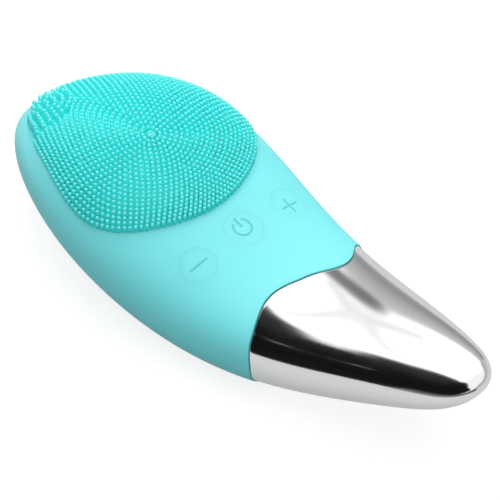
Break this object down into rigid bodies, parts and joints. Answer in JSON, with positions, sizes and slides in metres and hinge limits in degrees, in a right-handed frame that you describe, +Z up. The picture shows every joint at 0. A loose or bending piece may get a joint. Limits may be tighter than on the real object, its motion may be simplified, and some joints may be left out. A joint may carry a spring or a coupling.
{
  "type": "facial cleansing brush",
  "caption": "Hand-held facial cleansing brush: silicone body with a bristled head, moulded keys, a vibrating motor inside and a curved bright metal massage tail.",
  "frame": {"origin": "on the floor plane under the middle of the body's length, on its centre line", "axes": "+X from the bristled head to the metal tail's tip, +Y across the body, +Z up out of the bristles, with the flattened back resting on z = 0"},
  "size_m": [0.1396, 0.0552, 0.0361],
  "materials": {
    "silicone": "satin silicone, aqua",
    "bristles": "satin silicone, deeper aqua",
    "bright_metal": "mirror polished",
    "dark_rubber": "matt",
    "white_plastic": "matt moulded",
    "dark_plastic": "matt moulded",
    "clear_plastic": "clear moulded",
    "steel": "satin",
    "circuit_board": "solder mask",
    "battery_foil": "satin foil",
    "brass_plate": "satin",
    "wire_cover": "satin"
  },
  "bodies": {
    "casing": {"silicone_sleeve": "silicone", "bristle_field": "bristles", "tail_cover": "bright_metal", "tail_seal": "dark_rubber", "shell_top": "white_plastic", "shell_bottom": "white_plastic", "shell_screws": "steel", "power_switch": "steel", "plus_switch": "steel", "minus_switch": "steel", "circuit_board": "circuit_board", "control_chip": "dark_plastic", "indicator_lamp": "clear_plastic", "battery": "battery_foil", "battery_pad": "dark_rubber", "motor_can": "steel", "motor_magnets": "steel", "motor_end_cap": "dark_plastic", "motor_bushing": "brass_plate", "motor_boot": "dark_rubber", "contact_block": "dark_plastic", "charge_pins": "brass_plate", "charge_magnets": "steel", "heater_film": "brass_plate", "heat_sensor": "dark_plastic", "motor_leads": "wire_cover", "battery_leads": "wire_cover", "heater_leads": "wire_cover", "charge_leads": "wire_cover"},
    "power_button": {"power_key": "silicone", "power_plunger": "white_plastic"},
    "plus_button": {"plus_key": "silicone", "plus_plunger": "white_plastic"},
    "minus_button": {"minus_key": "silicone", "minus_plunger": "white_plastic"},
    "motor_rotor": {"motor_shaft": "steel", "motor_armature": "brass_plate", "eccentric_weight": "steel"}
  },
  "joints": [
    {"name": "power_press", "type": "slide", "parent": "casing", "child": "power_button", "axis": [-0.249, 0, -0.9685], "range_m": [0, 0.00035], "stiffness_N_per_m": 4000},
    {"name": "plus_press", "type": "slide", "parent": "casing", "child": "plus_button", "axis": [-0.249, 0, -0.9685], "range_m": [0, 0.00035], "stiffness_N_per_m": 4000},
    {"name": "minus_press", "type": "slide", "parent": "casing", "child": "minus_button", "axis": [-0.249, 0, -0.9685], "range_m": [0, 0.00035], "stiffness_N_per_m": 4000},
    {"name": "motor_spin", "type": "hinge", "parent": "casing", "child": "motor_rotor", "pos_m": [-0.04835, 0, 0.02042], "axis": [1, 0, 0], "continuous": true}
  ]
}
